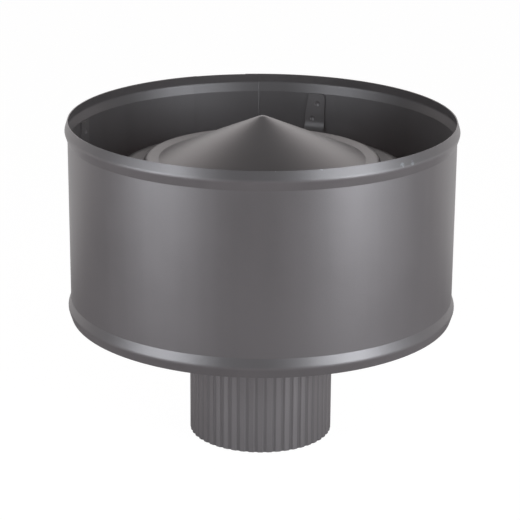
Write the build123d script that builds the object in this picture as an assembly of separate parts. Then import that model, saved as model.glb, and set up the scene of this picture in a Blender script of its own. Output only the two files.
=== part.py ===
# Flue rain cap: a wind band, a rain cone and a baffle ring carried by straps on a crimped spigot.
# Millimetres, +Z up. The origin is the centre of the spigot's lower rim, and -Y is the front.
from build123d import *
import math
import os

# Flue spigot
flue_bore = 150.0  # inside diameter of the flue pipe that takes the spigot
flue_slack = 0.4  # radial room between the crimped end and the flue pipe
spigot_outer_diameter = 152.0  # plain part above the crimps
mouth_drop = 66.0  # spigot's mouth below the band's lip
spigot_sheet = 1.0
crimp_length = 110.0
crimp_runout = 8.0
flute_count = 50
flute_depth = 1.1
flute_share = 0.5  # part of the pitch that the groove takes

# Wind band
band_diameter = 396.0  # outside of the plain wall
band_height = 205.5
band_bottom = 131.5  # height of the band's lower edge
band_sheet = 1.0
bead_height = 19.5
bead_bulge = 2.8
bead_blend = 1.2
bead_slope_share = 0.55  # end slope of a bead against that of a plain arc
lap_bearing = 91.3  # degrees from +X to the inner edge of the lap seam
lap_width = 14.0  # between the inner layer's edge and the outer layer's
lap_run = 70.0  # over which the inner layer runs out to the wall
lap_fusion = 0.4  # how far the two layers are sunk into each other
lap_end_step = 0.06  # left where the inner layer has run out to the wall

# Rain cone
cone_rim_diameter = 243.0
cone_tip_rise = 2.7  # tip above the band's lip
cone_crease_drop = 42.1  # crease below the band's lip
cone_crest_rise = 1.6  # crest of the rounded rim above the crease
cone_rim_lip = 2.0  # straight edge below the rounded rim
cone_rim_width = 15.5  # from the crease to the outermost edge
cone_rim_bend = 5.5
cone_crease_bend = 2.0
cone_tip_bend = 11.0
cone_tip_flat = 0.05  # radius of the flat spot left at the tip
cone_sheet = 1.0

# Baffle ring
baffle_diameter = 303.0
baffle_inner_diameter = 196.0
baffle_flange_width = 14.5
baffle_crest_rise = 12.0  # crest of the rounded edge above the flange
baffle_edge_lip = 2.5
baffle_edge_bend = 7.0
baffle_flange_bend = 3.0
baffle_sheet = 1.0

# Band brackets
strap_count = 4
strap_bearing = 72.7  # degrees from +X to the rear bracket
strap_width = 22.0
strap_thickness = 2.0
strap_wall_bend = 18.0
strap_foot_bend = 3.0
strap_foot_length = 36.0
strap_corner = 3.0
strap_taper_width = 4.0  # how much narrower the tab is at its top, on one side
strap_taper_length = 24.0
weld_end_distance = 11.0  # from the tab's top to the upper weld dent
weld_bend_clearance = 2.6  # from the lower weld dent to the start of the bend
weld_shift = 2.7  # sideways place of each weld dent on the strap, to opposite sides
weld_dent_width = 6.0
weld_dent_depth = 0.9
weld_nugget_diameter = 5.0

# Cone legs
leg_width = 18.0
leg_thickness = 2.0
leg_tab_length = 20.0
leg_bend = 5.0
leg_tab_pressing = 0.3  # depth to which the tab's flat face is formed to the cone's underside

# Rivets
rivet_diameter = 4.0
rivet_hole_slack = 0.1
rivet_head_diameter = 8.0
rivet_head_height = 1.6
rivet_tail_diameter = 6.0
rivet_tail_height = 2.0
rivet_end_distance = 9.0  # from a foot's end to its lower rivet
rivet_spacing = 17.0
rivet_cutter_length = 8.0

# Worked out from the sizes above
lip_height = band_bottom + band_height
spigot_height = lip_height - mouth_drop
spigot_radius = spigot_outer_diameter / 2
crimp_radius = flue_bore / 2 - flue_slack
band_radius = band_diameter / 2
band_bore_radius = band_radius - band_sheet
cone_rim_radius = cone_rim_diameter / 2
cone_crease_radius = cone_rim_radius - cone_rim_width
cone_tip_height = lip_height + cone_tip_rise
cone_crease_height = lip_height - cone_crease_drop
baffle_radius = baffle_diameter / 2
strap_arm_underside = spigot_height - strap_thickness
foot_bottom = strap_arm_underside - strap_foot_length
rivet_heights = (foot_bottom + rivet_end_distance, foot_bottom + rivet_end_distance + rivet_spacing)
baffle_rivet_radius = (baffle_inner_diameter + baffle_flange_width) / 2
leg_bearing = strap_bearing + 180 / strap_count


def direction(start, end):
    """Unit vector from one point of a section to the next."""
    length = math.dist(start, end)
    return ((end[0] - start[0]) / length, (end[1] - start[1]) / length)


def moved_sideways(points, distance):
    """The points of an open path moved to its left, with mitred corners."""
    headings = [direction(a, b) for a, b in zip(points, points[1:])]
    headings = [headings[0]] + headings + [headings[-1]]
    moved = []
    for point, before, after in zip(points, headings, headings[1:]):
        across = (-before[1] - after[1], before[0] + after[0])
        scale = 2 * distance / (across[0] ** 2 + across[1] ** 2)
        moved.append((point[0] + across[0] * scale, point[1] + across[1] * scale))
    return moved


def sheet_section(points, bends, thickness):
    """Section of a bent sheet. The path is one face. The thickness goes to its left, or right if below 0."""
    moved_bends = []
    for before, corner, after, bend in zip(points, points[1:], points[2:], bends):
        come = direction(before, corner)
        leave = direction(corner, after)
        turn = math.copysign(1, come[0] * leave[1] - come[1] * leave[0])
        moved_bends.append(bend - thickness * turn)
    moved = moved_sideways(points, thickness)
    near = FilletPolyline(*points, radius=list(bends))
    far = FilletPolyline(*moved, radius=moved_bends)
    ends = [Line(points[0], moved[0]), Line(points[-1], moved[-1])]
    return Plane.XZ * make_face(near.edges() + far.edges() + ends)


def spun(section):
    """A section turned right round the flue's axis."""
    return revolve(section, Axis.Z, 360)


def at_bearing(shape, degrees):
    """A shape made along +X, turned to its bearing."""
    return Rot(0, 0, degrees) * shape


def bar(section, width):
    """A flat bar with the given side view, centred across the X axis."""
    return extrude(section, width / 2, both=True)


def crossing_angle(circle_radius, centre_distance, arc_radius):
    """Half the angle, seen from the axis, between the ends of a groove's arc on the land's circle."""
    top = circle_radius ** 2 + centre_distance ** 2 - arc_radius ** 2
    return math.degrees(math.acos(top / (2 * circle_radius * centre_distance)))


def polar(radius, degrees):
    return (radius * math.cos(math.radians(degrees)), radius * math.sin(math.radians(degrees)))


def fluted_wire(land_radius, bottom_radius, half_groove, height):
    """One turn of lands and grooves, as arcs."""
    pitch = 360 / flute_count
    edges = []
    for i in range(flute_count):
        middle = i * pitch
        start = polar(land_radius, middle - half_groove)
        end = polar(land_radius, middle + half_groove)
        land_middle = polar(land_radius, middle + pitch / 2)
        following = polar(land_radius, middle + pitch - half_groove)
        edges.append(ThreePointArc(start, polar(bottom_radius, middle), end))
        edges.append(ThreePointArc(end, land_middle, following))
    return Pos(0, 0, height) * Wire(edges)


def spigot_body(inset):
    """The spigot's outer form, or the form of its bore when inset by the sheet."""
    half_angle = 180 / flute_count * flute_share
    half_chord = crimp_radius * math.sin(math.radians(half_angle))
    edge_drop = crimp_radius * (1 - math.cos(math.radians(half_angle)))
    sagitta = flute_depth - edge_drop
    arc_radius = (half_chord ** 2 + sagitta ** 2) / (2 * sagitta)
    centre_distance = crimp_radius - flute_depth + arc_radius
    land_radius = crimp_radius - inset
    bottom_radius = land_radius - flute_depth
    half_groove = crossing_angle(land_radius, centre_distance, arc_radius + inset)
    plain_radius = spigot_radius - inset
    plain_start = crimp_length + crimp_runout
    crimp = fluted_wire(land_radius, bottom_radius, half_groove, 0)
    crimped = extrude(make_face(crimp.edges()), crimp_length)
    lower = fluted_wire(land_radius, bottom_radius, half_groove, crimp_length)
    upper = fluted_wire(plain_radius, plain_radius, half_groove, plain_start)
    runout = Solid.make_loft([lower, upper], ruled=True)
    plain_height = spigot_height - plain_start
    plain = Pos(0, 0, plain_start) * extrude(Circle(plain_radius), plain_height)
    return crimped + runout + plain


def dome(width, height):
    """A shallow dome on Z = 0."""
    radius = ((width / 2) ** 2 + height ** 2) / (2 * height)
    ball = Pos(0, 0, height - radius) * Sphere(radius)
    return ball & Pos(0, 0, height) * Box(2 * width, 2 * width, 2 * height)


def rivet_hole():
    """The cutter for a rivet hole, upright and centred."""
    return Cylinder(rivet_diameter / 2 + rivet_hole_slack, rivet_cutter_length)


def foot_hole(height):
    """The cutter for a rivet hole through a foot along +X and the spigot's wall."""
    return Pos(spigot_radius, 0, height) * Rot(0, 90, 0) * rivet_hole()


def flue_spigot():
    spigot = spigot_body(0) - spigot_body(spigot_sheet)
    for i in range(strap_count):
        for bearing in (strap_bearing, leg_bearing):
            for height in rivet_heights:
                spigot -= at_bearing(foot_hole(height), bearing + i * 360 / strap_count)
    return spigot


def band_section(inset):
    """Section of the band's sheet with its two beads, moved inwards by the inset."""
    half = bead_height / 2
    slope = bead_slope_share * 2 * math.atan(bead_bulge / half)
    corner = half * math.tan(slope)
    bend = (corner - bead_bulge) / (1 / math.cos(slope) - 1)
    points = [
        (band_radius, band_bottom),
        (band_radius + corner, band_bottom + half),
        (band_radius, band_bottom + bead_height),
        (band_radius, lip_height - bead_height),
        (band_radius + corner, lip_height - half),
        (band_radius, lip_height),
    ]
    bends = [bend - inset, bead_blend + inset, bead_blend + inset, bend - inset]
    return sheet_section(moved_sideways(points, inset), bends, band_sheet)


def wind_band():
    """The rolled drum. At its lap seam one end lies inside the other, then runs out to the wall."""
    inset = band_sheet - lap_fusion
    start_radius = band_bore_radius - inset
    end_radius = band_bore_radius - lap_end_step
    run_angle = lap_run / band_bore_radius
    # The inner layer turns about an axis that is shifted so that its end reaches the wall
    climb = 2 * (end_radius ** 2 - start_radius ** 2) / (1 - math.cos(run_angle))
    shift = (math.sqrt(start_radius ** 2 + climb) - start_radius) / 2
    lap_axis = Axis((-shift, 0, 0), (0, 0, 1))
    inner_end = revolve(band_section(inset), lap_axis, math.degrees(run_angle))
    wall_start = math.degrees(run_angle)
    wall_end = 360 + math.degrees(lap_width / band_bore_radius)
    wall = at_bearing(revolve(band_section(0), Axis.Z, wall_end - wall_start), wall_start)
    return at_bearing(wall + inner_end, lap_bearing)


def rim_angle(run, rise, bend):
    """Slope of a straight wall that ends tangent to a rounded rim, given its bend's centre."""
    return math.atan2(rise, run) + math.asin(bend / math.hypot(run, rise))


def cone_slope():
    """Slope of the cone below the horizontal, between its rounded tip and its crease."""
    run = cone_crease_radius - cone_tip_flat
    drop = cone_tip_height - cone_crease_height
    return 2 * math.atan2(drop, run + math.sqrt(run ** 2 + drop * (drop - 2 * cone_tip_bend)))


def cone_points():
    """Corners of the cone's upper face, from its tip to its rim's edge."""
    tip_corner = cone_tip_flat + cone_tip_bend * math.tan(cone_slope() / 2)
    bend_centre_height = cone_crease_height + cone_crest_rise - cone_rim_bend
    angle = rim_angle(cone_rim_width - cone_rim_bend, cone_crest_rise - cone_rim_bend, cone_rim_bend)
    return [
        (0, cone_tip_height),
        (tip_corner, cone_tip_height),
        (cone_crease_radius, cone_crease_height),
        (cone_rim_radius, cone_crease_height + cone_rim_width * math.tan(angle)),
        (cone_rim_radius, bend_centre_height - cone_rim_lip),
    ]


def rain_cone():
    bends = [cone_tip_bend, cone_crease_bend, cone_rim_bend]
    return spun(sheet_section(cone_points(), bends, -cone_sheet))


def space_above_cone_underside():
    """Everything above the underside of the cone's straight slope."""
    under = moved_sideways(cone_points(), -cone_sheet)
    top = cone_tip_height + cone_sheet
    corners = [under[1], under[2], (under[2][0], top), (0, top), (0, under[1][1])]
    return spun(Plane.XZ * make_face(Polyline(*corners, close=True).edges()))


def baffle_ring():
    inner = baffle_inner_diameter / 2
    flange_top = spigot_height + baffle_sheet
    flange_end = inner + baffle_flange_width
    bend_centre_height = flange_top + baffle_crest_rise - baffle_edge_bend
    run = baffle_radius - baffle_edge_bend - flange_end
    angle = rim_angle(run, bend_centre_height - flange_top, baffle_edge_bend)
    points = [
        (inner, flange_top),
        (flange_end, flange_top),
        (baffle_radius, flange_top + (baffle_radius - flange_end) * math.tan(angle)),
        (baffle_radius, bend_centre_height - baffle_edge_lip),
    ]
    ring = spun(sheet_section(points, [baffle_flange_bend, baffle_edge_bend], -baffle_sheet))
    hole = Pos(baffle_rivet_radius, 0, spigot_height) * rivet_hole()
    for i in range(strap_count):
        ring -= at_bearing(hole, strap_bearing + i * 360 / strap_count)
    return ring


def band_bracket():
    """A bracket along +X: a flat tab inside the band, an arm inwards and a foot down the spigot."""
    tab_top = lip_height - bead_height
    foot_face = spigot_radius + strap_thickness
    # The tab's long edges lie on the band's wall
    tab_back = math.sqrt(band_bore_radius ** 2 - (strap_width / 2) ** 2)
    points = [
        (tab_back, tab_top),
        (tab_back, strap_arm_underside),
        (foot_face, strap_arm_underside),
        (foot_face, foot_bottom),
    ]
    strap = bar(sheet_section(points, [strap_wall_bend, strap_foot_bend], -strap_thickness), strap_width)
    tab_corners = strap.edges().filter_by(Axis.X).group_by(Axis.Z)[-1]
    foot_corners = strap.edges().filter_by(Axis.X).group_by(Axis.Z)[0]
    strap = fillet(tab_corners + foot_corners, strap_corner)
    edge = strap_width / 2
    taper_corners = [
        (edge - strap_taper_width, tab_top),
        (edge, tab_top - strap_taper_length),
        (edge, tab_top),
    ]
    taper = Polyline(*taper_corners, close=True)
    strap -= extrude(Plane.YZ * make_face(taper.edges()), band_radius)
    dent = Rot(0, 90, 0) * dome(weld_dent_width, weld_dent_depth)
    nugget = Cylinder(weld_nugget_diameter / 2, strap_thickness, rotation=(0, 90, 0))
    upper_weld = tab_top - weld_end_distance
    lower_weld = strap_arm_underside + strap_wall_bend + weld_bend_clearance
    for height, shift in ((upper_weld, -weld_shift), (lower_weld, weld_shift)):
        strap -= Pos(tab_back - strap_thickness, shift, height) * dent
        strap += Pos(tab_back, shift, height) * nugget & Cylinder(band_bore_radius, 2 * lip_height)
    for height in rivet_heights:
        strap -= foot_hole(height)
    return strap - Pos(baffle_rivet_radius, 0, spigot_height) * rivet_hole()


def cone_leg():
    """A leg along +X: a foot on the spigot, an upright and a tab along the cone's underside."""
    face = spigot_radius + leg_thickness
    under = moved_sideways(cone_points(), -cone_sheet)
    slope = math.tan(cone_slope())
    corner_height = under[2][1] + (under[2][0] - face) * slope + leg_tab_pressing
    tab_run = leg_tab_length * math.cos(cone_slope())
    points = [
        (face, foot_bottom),
        (face, corner_height),
        (face - tab_run, corner_height + tab_run * slope),
    ]
    leg = bar(sheet_section(points, [leg_bend], leg_thickness), leg_width)
    leg = fillet(leg.edges().filter_by(Axis.X).group_by(Axis.Z)[0], strap_corner)
    leg -= space_above_cone_underside()
    for height in rivet_heights:
        leg -= foot_hole(height)
    return leg


def rivet(grip):
    """A rivet along +Z: domed head above Z = 0, shank through the grip, and its set tail below."""
    shank = Pos(0, 0, -grip / 2) * Cylinder(rivet_diameter / 2, grip)
    tail = Pos(0, 0, -grip) * Rot(180, 0, 0) * dome(rivet_tail_diameter, rivet_tail_height)
    return shank + dome(rivet_head_diameter, rivet_head_height) + tail


def foot_rivets(bearing, thickness):
    """The rivets of all the feet of one kind, through foot and spigot."""
    face = spigot_radius + thickness
    bore = spigot_radius - spigot_sheet
    tail_face = math.sqrt(bore ** 2 - (rivet_tail_diameter / 2) ** 2)
    one = Rot(0, 90, 0) * rivet(face - tail_face)
    rivets = []
    for i in range(strap_count):
        for height in rivet_heights:
            rivets.append(at_bearing(Pos(face, 0, height) * one, bearing + i * 360 / strap_count))
    return Compound(children=rivets)


def baffle_rivets():
    """The rivets through the baffle ring's flange and the bracket arms."""
    one = rivet(baffle_sheet + strap_thickness)
    rivets = []
    for i in range(strap_count):
        placed = Pos(baffle_rivet_radius, 0, spigot_height + baffle_sheet) * one
        rivets.append(at_bearing(placed, strap_bearing + i * 360 / strap_count))
    return Compound(children=rivets)


nodes = {
    "flue_spigot": flue_spigot(),
    "wind_band": wind_band(),
    "rain_cone": rain_cone(),
    "baffle_ring": baffle_ring(),
    "bracket_rivets": foot_rivets(strap_bearing, strap_thickness),
    "leg_rivets": foot_rivets(leg_bearing, leg_thickness),
    "baffle_rivets": baffle_rivets(),
}
bracket = band_bracket()
leg = cone_leg()
for i, side in enumerate(("rear", "left", "front", "right")):
    nodes["band_bracket_" + side] = at_bearing(bracket, strap_bearing + i * 360 / strap_count)
for i, side in enumerate(("rear_left", "front_left", "front_right", "rear_right")):
    nodes["cone_leg_" + side] = at_bearing(leg, leg_bearing + i * 360 / strap_count)

os.makedirs("parts", exist_ok=True)
for name, shape in nodes.items():
    export_step(shape, "parts/" + name + ".step")
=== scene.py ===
import bpy
import math
from mathutils import Matrix, Vector


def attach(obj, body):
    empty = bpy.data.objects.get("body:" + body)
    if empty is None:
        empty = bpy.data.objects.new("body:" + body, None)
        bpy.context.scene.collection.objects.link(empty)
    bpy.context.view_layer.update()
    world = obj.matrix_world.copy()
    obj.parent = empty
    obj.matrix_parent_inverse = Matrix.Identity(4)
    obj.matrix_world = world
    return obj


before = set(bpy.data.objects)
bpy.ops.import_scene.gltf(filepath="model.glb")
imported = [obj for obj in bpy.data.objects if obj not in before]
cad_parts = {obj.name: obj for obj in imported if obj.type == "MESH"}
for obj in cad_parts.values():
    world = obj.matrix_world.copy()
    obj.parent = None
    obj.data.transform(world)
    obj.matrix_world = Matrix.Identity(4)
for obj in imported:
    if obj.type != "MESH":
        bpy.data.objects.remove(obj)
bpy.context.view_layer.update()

# Camera of the photograph
focal_length = 141.82
camera_distance = 2.1299
camera_elevation = 18.296
camera_roll = 0.394
camera_target = Vector((-0.0016, 0, 0.18494))

# Radiance of the room in front of the cap, and of the backdrop near the floor and higher up
front_light = 0.06
low_backdrop = 0.6
high_backdrop = 1.25

# Floor
paper_level = 0.56
floor_glow = 1.14
floor_white = 0.85  # share of the glow that the camera sees; the rest is paper, with the cap's shadow
floor_shine = 0.68  # how white the floor behind the cap is in reflections

box_colour = (0.90, 1.0, 1.06)
box_aim_height = 0.2

# Soft boxes: name, bearing from the camera, elevation, distance, width, height, radiance
soft_boxes = (
    ("left_low_outer", -66, 3, 1.3, 0.32, 0.42, 4.5),
    ("left_low_middle", -52, 3, 1.3, 0.32, 0.42, 4.2),
    ("left_low_inner", -38, 3, 1.3, 0.32, 0.42, 2.5),
    ("left_high_outer", -72, 18, 1.7, 0.5, 0.5, 0.8),
    ("left_high_inner", -48, 18, 1.7, 0.5, 0.5, 4.8),
    ("right_low_edge", 80, 3, 1.3, 0.32, 0.42, 1.0),
    ("right_low_outer", 66, 3, 1.3, 0.32, 0.42, 2.4),
    ("right_low_middle", 52, 3, 1.3, 0.32, 0.42, 6.7),
    ("right_low_inner", 38, 3, 1.3, 0.32, 0.42, 3.0),
    ("right_high_outer", 58, 18, 1.7, 0.5, 0.5, 5.0),
    ("right_high_inner", 36, 18, 1.7, 0.5, 0.5, 5.0),
)

# Heights on the cap, in metres
lip_height = 0.337
band_bottom = 0.1315
bead_height = 0.0195
upper_bead = lip_height - bead_height / 2
lower_bead = band_bottom + bead_height / 2

# Lap seam of the band
lap_bearing = 91.3
lap_width = 0.014
band_radius = 0.198
bead_slope = 0.3077  # of a bead's flanks against the wall, in radians
bead_arc_radius = 0.00605
bead_arc_centre = 0.19475  # from the flue's axis
lap_edge_radius = 0.0006
inner_edge_depth = 0.0011  # middle of the inner layer's edge, below the band's outside
outer_edge_depth = 0.0005

# Crimped end of the spigot
crimp_radius = 0.0746
crimp_depth = 0.0011
# painted shade: the crimp's grooves are painted at this share of the crests' level
groove_painted_shade = 0.9  # of the crests' level

# Paint
paint_metallic = 0.55
peel_strength = 0.16
peel_depth = 0.0004


class Value:
    """A socket's number or colour, for shader maths written as Python."""

    def __init__(self, finish, socket):
        self.finish = finish
        self.socket = socket

    def maths(self, operation, *values):
        return self.finish.node("ShaderNodeMath", {"operation": operation}, dict(enumerate(values)))

    def __add__(self, other):
        return self.maths("ADD", self, other)

    def __sub__(self, other):
        return self.maths("SUBTRACT", self, other)

    def __rsub__(self, other):
        return self.maths("SUBTRACT", other, self)

    def __mul__(self, other):
        return self.maths("MULTIPLY", self, other)

    __radd__ = __add__
    __rmul__ = __mul__


class Finish:
    """A node tree under construction, for a material or for the world."""

    def __init__(self, owner):
        owner.use_nodes = True
        self.tree = owner.node_tree
        self.tree.nodes.clear()

    def node(self, kind, settings, inputs, output=0):
        """Adds a node, applies its settings, then fills its sockets with numbers, colours or links."""
        made = self.tree.nodes.new(kind)
        for key, setting in settings.items():
            setattr(made, key, setting)
        for key, value in inputs.items():
            if isinstance(value, Value):
                self.tree.links.new(value.socket, made.inputs[key])
            else:
                made.inputs[key].default_value = value
        return Value(self, made.outputs[output]) if made.outputs else None

    def place(self):
        return self.node("ShaderNodeTexCoord", {}, {}, "Object")

    def along(self, axis):
        """One coordinate of the place, in metres."""
        return self.node("ShaderNodeSeparateXYZ", {}, {"Vector": self.place()}, axis)

    def noise(self, scale, detail=2.0, stretch=(1, 1, 1)):
        """Cloudy noise from 0 to 1, with features about 1/scale metres wide."""
        spread = self.node("ShaderNodeMapping", {}, {"Vector": self.place(), "Scale": stretch})
        return self.node("ShaderNodeTexNoise", {}, {"Vector": spread, "Scale": scale, "Detail": detail})

    def rise(self, value, low, high):
        """Rises smoothly from 0 at low to 1 at high."""
        limits = {"Value": value, "From Min": low, "From Max": high}
        return self.node("ShaderNodeMapRange", {"interpolation_type": "SMOOTHSTEP"}, limits)

    def near_height(self, middle, half_width):
        """1 near a height, falling to 0 at the half width."""
        distance = (self.along("Z") - middle).maths("ABSOLUTE")
        return 1 - self.rise(distance, half_width * 0.5, half_width)

    def near_point(self, point, reach):
        """1 near a point, falling to 0 at the reach."""
        settings = {"operation": "DISTANCE"}
        distance = self.node("ShaderNodeVectorMath", settings, {0: self.place(), 1: point}, "Value")
        return 1 - self.rise(distance, reach * 0.4, reach)

    def turned_outwards(self):
        """1 on surfaces that face away from the flue's axis, -1 on those that face it, and 0 across it."""
        outwards = self.node("ShaderNodeVectorMath", {"operation": "NORMALIZE"}, {0: self.from_axis()})
        facing = self.node("ShaderNodeNewGeometry", {}, {}, "Normal")
        settings = {"operation": "DOT_PRODUCT"}
        return self.node("ShaderNodeVectorMath", settings, {0: outwards, 1: facing}, "Value")

    def from_axis(self):
        """The place with its height taken out."""
        settings = {"operation": "MULTIPLY"}
        return self.node("ShaderNodeVectorMath", settings, {0: self.place(), 1: (1, 1, 0)})

    def radius(self):
        """Distance from the flue's axis, in metres."""
        return self.node("ShaderNodeVectorMath", {"operation": "LENGTH"}, {0: self.from_axis()}, "Value")

    def facing_axis(self):
        """1 on surfaces that face the flue's axis, and 0 on those that face away from it."""
        return 1 - self.rise(self.turned_outwards(), -0.1, 0.1)

    def edge_faces(self):
        """1 on upright faces that look round the cap, such as a strap's long edges."""
        facing = self.node("ShaderNodeNewGeometry", {}, {}, "Normal")
        upright = self.node("ShaderNodeSeparateXYZ", {}, {"Vector": facing}, "Z").maths("ABSOLUTE")
        return 1 - self.rise(self.turned_outwards().maths("ABSOLUTE") + upright, 0.3, 0.6)

    def mixed(self, amount, first, second):
        """Blends two colours."""
        return self.node("ShaderNodeMix", {"data_type": "RGBA"}, {"Factor": amount, 6: first, 7: second}, 2)


def grey(level):
    return (level, level, level, 1)


def warm_grey(level):
    return (level * 1.11, level, level, 1)


def charcoal_paint(
    name,
    level=0.18,
    roughness=0.40,
    streaks=0.0,
    rubbed_heights=(),
    nicks=(),
    inside=1.0,
    painted_edge_shade=False,
    crest_radius=None,
):
    """Semi-matt charcoal paint on sheet steel.

    It is rubbed in spots near the given heights and nicked at the given points. Its level may be raised
    inside as painted light, and it may be darker as painted shade on a strap's long edges and in a
    crimped pipe's grooves.
    """
    material = bpy.data.materials.new(name)
    finish = Finish(material)
    clouds = finish.noise(9, 3)
    speckle = finish.noise(1400, 1)
    rolled = finish.noise(34, 2, (1, 1, 0.06))
    tone = finish.rise(clouds * 0.6 + speckle * 0.25 + rolled * streaks, 0.2, 0.75)
    colour = finish.mixed(tone, warm_grey(level * 0.90), warm_grey(level * 1.12))
    rough = roughness - 0.05 + clouds * 0.07 + speckle * 0.04
    if crest_radius:
        # painted shade: the grooves between the crimp's crests are painted darker
        crest = finish.rise(finish.radius(), crest_radius - crimp_depth, crest_radius)
        colour = finish.mixed(crest, warm_grey(level * groove_painted_shade), colour)
    if inside != 1.0:
        # painted light: faces turned to the flue's axis get a lighter copy of the paint, standing in for
        # light on the inner wall
        inward_faces = finish.facing_axis()
        painted_light_inside = finish.mixed(tone, warm_grey(level * inside * 0.92), warm_grey(level * inside * 1.10))
        colour = finish.mixed(inward_faces, colour, painted_light_inside)
        rough = rough + inward_faces * 0.04
    if rubbed_heights:
        patches = finish.rise(finish.noise(14, 2), 0.57, 0.66)
        chips = finish.rise(finish.noise(420, 2), 0.60, 0.66)
        near = sum(finish.near_height(middle, reach) for middle, reach in rubbed_heights)
        rubbed = patches * chips * near
        colour = finish.mixed(rubbed, colour, grey(0.30))
        rough = rough - rubbed * 0.08
    if nicks:
        ragged = finish.rise(finish.noise(700, 2), 0.42, 0.52)
        bare = sum(finish.near_point(point, reach) for point, reach in nicks) * ragged
        colour = finish.mixed(bare, colour, grey(0.34))
    if painted_edge_shade:
        # painted shade: a strap's long edge faces are painted almost black, standing in for the shadow in
        # the gap between strap and wall
        colour = finish.mixed(finish.edge_faces(), colour, warm_grey(0.03))
    peel = finish.noise(650, 2) * 0.7 + speckle * 0.3
    relief = {"Strength": peel_strength, "Distance": peel_depth, "Height": peel}
    bump = finish.node("ShaderNodeBump", {}, relief)
    shader = finish.node(
        "ShaderNodeBsdfPrincipled",
        {},
        {"Base Color": colour, "Roughness": rough, "Metallic": paint_metallic, "Normal": bump},
    )
    finish.node("ShaderNodeOutputMaterial", {}, {"Surface": shader})
    return material


def dress(nodes, material):
    """Gives CAD nodes their material."""
    for node in nodes:
        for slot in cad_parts[node].material_slots:
            slot.material = material


def named(prefix):
    return [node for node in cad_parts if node.startswith(prefix)]


band_paint = charcoal_paint(
    "band_paint",
    roughness=0.39,
    streaks=0.35,
    rubbed_heights=((lip_height - 0.003, 0.006), (upper_bead, 0.004), (lower_bead, 0.005)),
    nicks=(
        ((0.0126, -0.1974, 0.337), 0.0014),
        ((0.0550, -0.1900, 0.337), 0.0018),
        ((0.1326, -0.1496, 0.3301), 0.0034),
        ((0.1430, -0.1403, 0.3297), 0.0032),
    ),
    # painted light: the band's inner wall is painted 1.2 times lighter
    inside=1.2,
)
dress(["wind_band"], band_paint)
# painted light: the cone has the band's paint, set lighter to stand in for the brighter light on it
dress(["rain_cone"], charcoal_paint("cone_paint", 0.255, 0.40))
dress(["baffle_ring"], charcoal_paint("ring_paint", roughness=0.42))
spigot_paint = charcoal_paint(
    "spigot_paint",
    # painted light: the spigot's paint is set lighter than the band's to stand in for the brighter light on
    # it
    0.246,
    0.42,
    streaks=0.4,
    rubbed_heights=((0.0, 0.006),),
    crest_radius=crimp_radius,
)
dress(["flue_spigot"], spigot_paint)
# painted light: the straps have the band's paint, set lighter to stand in for the light on them
dress(named("band_bracket"), charcoal_paint("strap_paint", 0.27, 0.42, painted_edge_shade=True))
dress(named("cone_leg"), charcoal_paint("leg_paint", roughness=0.42))
rivets = named("bracket_rivets") + named("leg_rivets") + named("baffle_rivets")
dress(rivets, charcoal_paint("rivet_paint", roughness=0.38))


def wall_profile(inset):
    """Places down the band's wall with its two beads, as (radius, height), at a depth below its outside."""
    wall = band_radius - inset
    arc = bead_arc_radius - inset
    half_arc = arc * math.sin(bead_slope)
    half_bead = half_arc + (bead_arc_centre + arc * math.cos(bead_slope) - wall) / math.tan(bead_slope)
    places = []
    for middle in (upper_bead, lower_bead):
        rises = [half_arc * step / 6 for step in range(6, -7, -1)]
        bead = [(bead_arc_centre + math.sqrt(arc ** 2 - rise ** 2), middle + rise) for rise in rises]
        places += [(wall, middle + half_bead)] + bead + [(wall, middle - half_bead)]
    return places


def lap_edge(name, bearing, inset):
    """The rounded, painted edge of one end of the band's sheet at the lap seam."""
    places = wall_profile(inset)
    line = bpy.data.curves.new(name, "CURVE")
    line.dimensions = "3D"
    line.bevel_depth = lap_edge_radius
    line.bevel_resolution = 3
    line.use_fill_caps = True
    run = line.splines.new("POLY")
    run.points.add(len(places) - 1)
    angle = math.radians(bearing)
    for point, (radius, height) in zip(run.points, places):
        point.co = (radius * math.cos(angle), radius * math.sin(angle), height, 1)
    edge = bpy.data.objects.new(name, line)
    bpy.context.scene.collection.objects.link(edge)
    line.materials.append(band_paint)
    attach(edge, "root")


lap_angle = math.degrees(lap_width / (band_radius - 0.001))
lap_edge("lap_edge_inside", lap_bearing, inner_edge_depth)
lap_edge("lap_edge_outside", lap_bearing + lap_angle, outer_edge_depth)


def studio_floor():
    """A pale floor that the camera sees as white and that keeps the cap's soft shadow."""
    bpy.ops.mesh.primitive_plane_add(size=30)
    floor = bpy.context.object
    floor.name = "floor"
    material = bpy.data.materials.new("floor_paper")
    finish = Finish(material)
    camera_ray = finish.node("ShaderNodeLightPath", {}, {}, "Is Camera Ray")
    glossy_ray = finish.node("ShaderNodeLightPath", {}, {}, "Is Glossy Ray")
    behind_cap = finish.rise(finish.along("Y"), 0.25, 0.65)
    paper = finish.node("ShaderNodeBsdfDiffuse", {}, {"Color": warm_grey(paper_level)})
    glow = finish.node("ShaderNodeEmission", {}, {"Color": grey(1.0), "Strength": floor_glow})
    seen_white = camera_ray * floor_white + glossy_ray * behind_cap * floor_shine
    shader = finish.node("ShaderNodeMixShader", {}, {0: seen_white, 1: paper, 2: glow})
    finish.node("ShaderNodeOutputMaterial", {}, {"Surface": shader})
    floor.data.materials.append(material)


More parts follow.
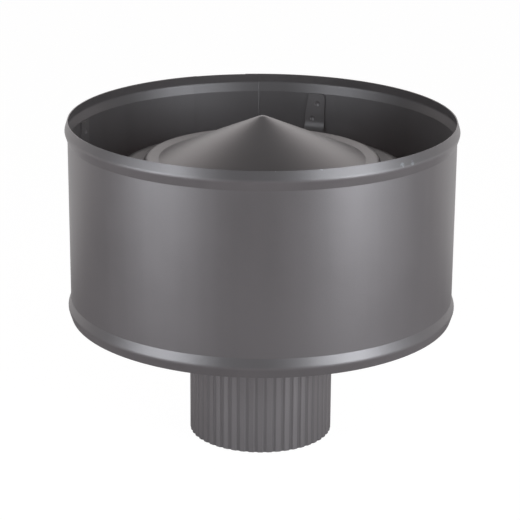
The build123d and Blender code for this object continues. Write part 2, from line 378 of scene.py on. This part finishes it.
def studio_world():
    """Soft light from all round, strongest from the backdrop. The camera sees it as white."""
    world = bpy.data.worlds.new("studio")
    bpy.context.scene.world = world
    finish = Finish(world)
    camera_ray = finish.node("ShaderNodeLightPath", {}, {}, "Is Camera Ray")
    way = finish.node("ShaderNodeTexCoord", {}, {}, "Generated")
    away = finish.node("ShaderNodeSeparateXYZ", {}, {"Vector": way}, "Y")
    upward = finish.node("ShaderNodeSeparateXYZ", {}, {"Vector": way}, "Z")
    backdrop = finish.rise(away, 0.1, 0.8) * (1 - finish.rise(upward, 0.5, 0.88))
    level = finish.rise(upward, 0.05, 0.25) * (high_backdrop - low_backdrop) + low_backdrop
    soft = backdrop * (level - front_light) + front_light
    seen = soft + (1 - soft) * camera_ray
    light = finish.node("ShaderNodeBackground", {}, {"Color": grey(1.0), "Strength": seen})
    finish.node("ShaderNodeOutputWorld", {}, {"Surface": light})


def soft_box(name, bearing, elevation, distance, width, height, radiance):
    """A soft box that faces the cap. Bearing 0 is the camera's side, and +90 is the cap's right."""
    a, e = math.radians(bearing), math.radians(elevation)
    out = Vector((math.sin(a) * math.cos(e), -math.cos(a) * math.cos(e), math.sin(e)))
    lamp = bpy.data.lights.new(name, "AREA")
    lamp.shape = "RECTANGLE"
    lamp.size = width
    lamp.size_y = height
    lamp.energy = radiance * math.pi * width * height
    lamp.color = box_colour
    box = bpy.data.objects.new(name, lamp)
    box.location = Vector((0, 0, box_aim_height)) + out * distance
    box.rotation_mode = "QUATERNION"
    box.rotation_quaternion = out.to_track_quat("Z", "Y")
    box.visible_camera = False
    bpy.context.scene.collection.objects.link(box)


def photo_camera():
    data = bpy.data.cameras.new("photo_camera")
    data.sensor_width = 36
    data.lens = focal_length
    data.clip_start = 0.1
    data.clip_end = 100
    camera = bpy.data.objects.new("photo_camera", data)
    e, roll = math.radians(camera_elevation), math.radians(camera_roll)
    back = Vector((0, -math.cos(e), math.sin(e)))
    level = Vector((1, 0, 0))
    up = Vector((0, math.sin(e), math.cos(e)))
    across = level * math.cos(roll) + up * math.sin(roll)
    upward = up * math.cos(roll) - level * math.sin(roll)
    turn = Matrix((across, upward, back)).transposed().to_4x4()
    camera.matrix_world = Matrix.Translation(camera_target + back * camera_distance) @ turn
    bpy.context.scene.collection.objects.link(camera)
    bpy.context.scene.camera = camera


studio_floor()
studio_world()
for settings in soft_boxes:
    soft_box(*settings)
photo_camera()
bpy.context.scene.view_settings.view_transform = "Standard"
